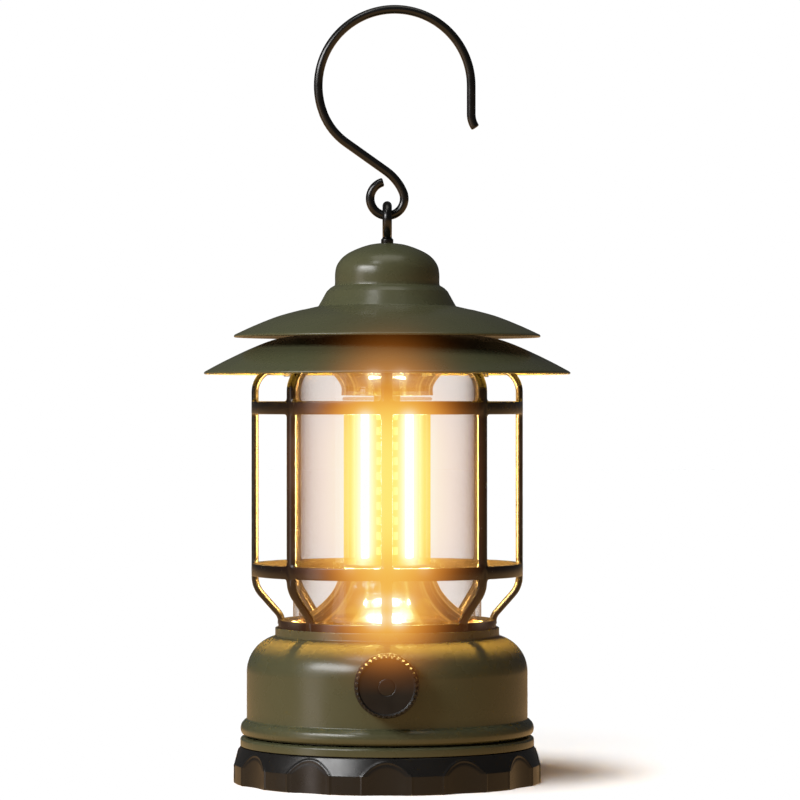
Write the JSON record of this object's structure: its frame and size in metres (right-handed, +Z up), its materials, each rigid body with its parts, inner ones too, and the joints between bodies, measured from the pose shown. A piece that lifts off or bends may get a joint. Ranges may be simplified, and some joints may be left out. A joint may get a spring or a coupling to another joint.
{
  "type": "camping lantern",
  "caption": "Rechargeable camping lantern in an old oil-lamp style: caged glass chimney with a lit column, double roof, round body with a dimmer knob, and a hanging hook.",
  "frame": {"origin": "centre of the foot's underside, on the floor", "axes": "+Z up through the hook, -Y towards the dimmer knob, +X towards the hook's open side"},
  "size_m": [0.1246, 0.1246, 0.2636],
  "materials": {
    "olive_powder_coat": "satin powder coat",
    "black_coat": "satin black coat",
    "black_rubber": "soft matt",
    "black_plastic": "satin",
    "clear_glass": "clear, polished",
    "clear_acrylic": "clear, polished",
    "led_phosphor": "lit",
    "plated_steel": "zinc plated",
    "aluminium": "brushed",
    "silicone": "soft matt",
    "circuit_board": "solder mask",
    "cell_wrap": "shrink wrap"
  },
  "bodies": {
    "lantern": {"base_tray": "olive_powder_coat", "body_shell": "olive_powder_coat", "lower_roof": "olive_powder_coat", "upper_roof": "olive_powder_coat", "cage": "black_coat", "base_foot": "black_rubber", "port_cover_anchor": "black_rubber", "battery_lead": "black_rubber", "light_top_cap": "black_plastic", "cell_holder": "black_plastic", "driver_chip": "black_plastic", "power_inductor": "black_plastic", "glass_chimney": "clear_glass", "lower_reflector": "clear_acrylic", "upper_reflector": "clear_acrylic", "led_cover": "clear_acrylic", "led_end_plate_bottom": "clear_acrylic", "led_end_plate_top": "clear_acrylic", "led_strip_front_left": "led_phosphor", "led_strip_front_right": "led_phosphor", "led_strip_back_left": "led_phosphor", "led_strip_back_right": "led_phosphor", "base_screw_1": "plated_steel", "base_screw_2": "plated_steel", "base_screw_3": "plated_steel", "base_screw_4": "plated_steel", "cage_screw_1": "plated_steel", "cage_screw_2": "plated_steel", "cage_screw_3": "plated_steel", "cage_screw_4": "plated_steel", "deck_screw_1": "plated_steel", "deck_screw_2": "plated_steel", "deck_screw_3": "plated_steel", "roof_screw_1": "plated_steel", "roof_screw_2": "plated_steel", "roof_screw_3": "plated_steel", "tube_nut_bottom": "plated_steel", "tube_nut_top": "plated_steel", "eye_washer": "plated_steel", "dimmer_switch": "plated_steel", "dimmer_nut": "plated_steel", "charge_port": "plated_steel", "lamp_deck": "aluminium", "led_core": "aluminium", "centre_tube": "aluminium", "glass_seal_bottom": "silicone", "glass_seal_top": "silicone", "led_lead": "silicone", "control_board": "circuit_board", "cell_front": "cell_wrap", "cell_back": "cell_wrap"},
    "eye": {"eye_bolt": "black_coat", "eye_nut": "plated_steel"},
    "hook": {"hook": "black_coat"},
    "knob": {"dimmer_knob": "black_plastic", "dimmer_shaft": "plated_steel"},
    "port_cover": {"port_cover": "black_rubber"}
  },
  "joints": [
    {"name": "eye_swivel", "type": "hinge", "parent": "lantern", "child": "eye", "pos_m": [0, 0, 0.1828], "axis": [0, 0, 1], "continuous": true},
    {"name": "hook_swing", "type": "hinge", "parent": "eye", "child": "hook", "pos_m": [0, 0, 0.19205], "axis": [1, 0, 0], "range_deg": [-120, 120]},
    {"name": "knob_turn", "type": "hinge", "parent": "lantern", "child": "knob", "pos_m": [0, -0.052, 0.0358], "axis": [0, 1, 0], "range_deg": [-270, 0]},
    {"name": "port_cover_hinge", "type": "hinge", "parent": "lantern", "child": "port_cover", "pos_m": [0, 0.0492, 0.03655], "axis": [1, 0, 0], "range_deg": [0, 100]}
  ]
}
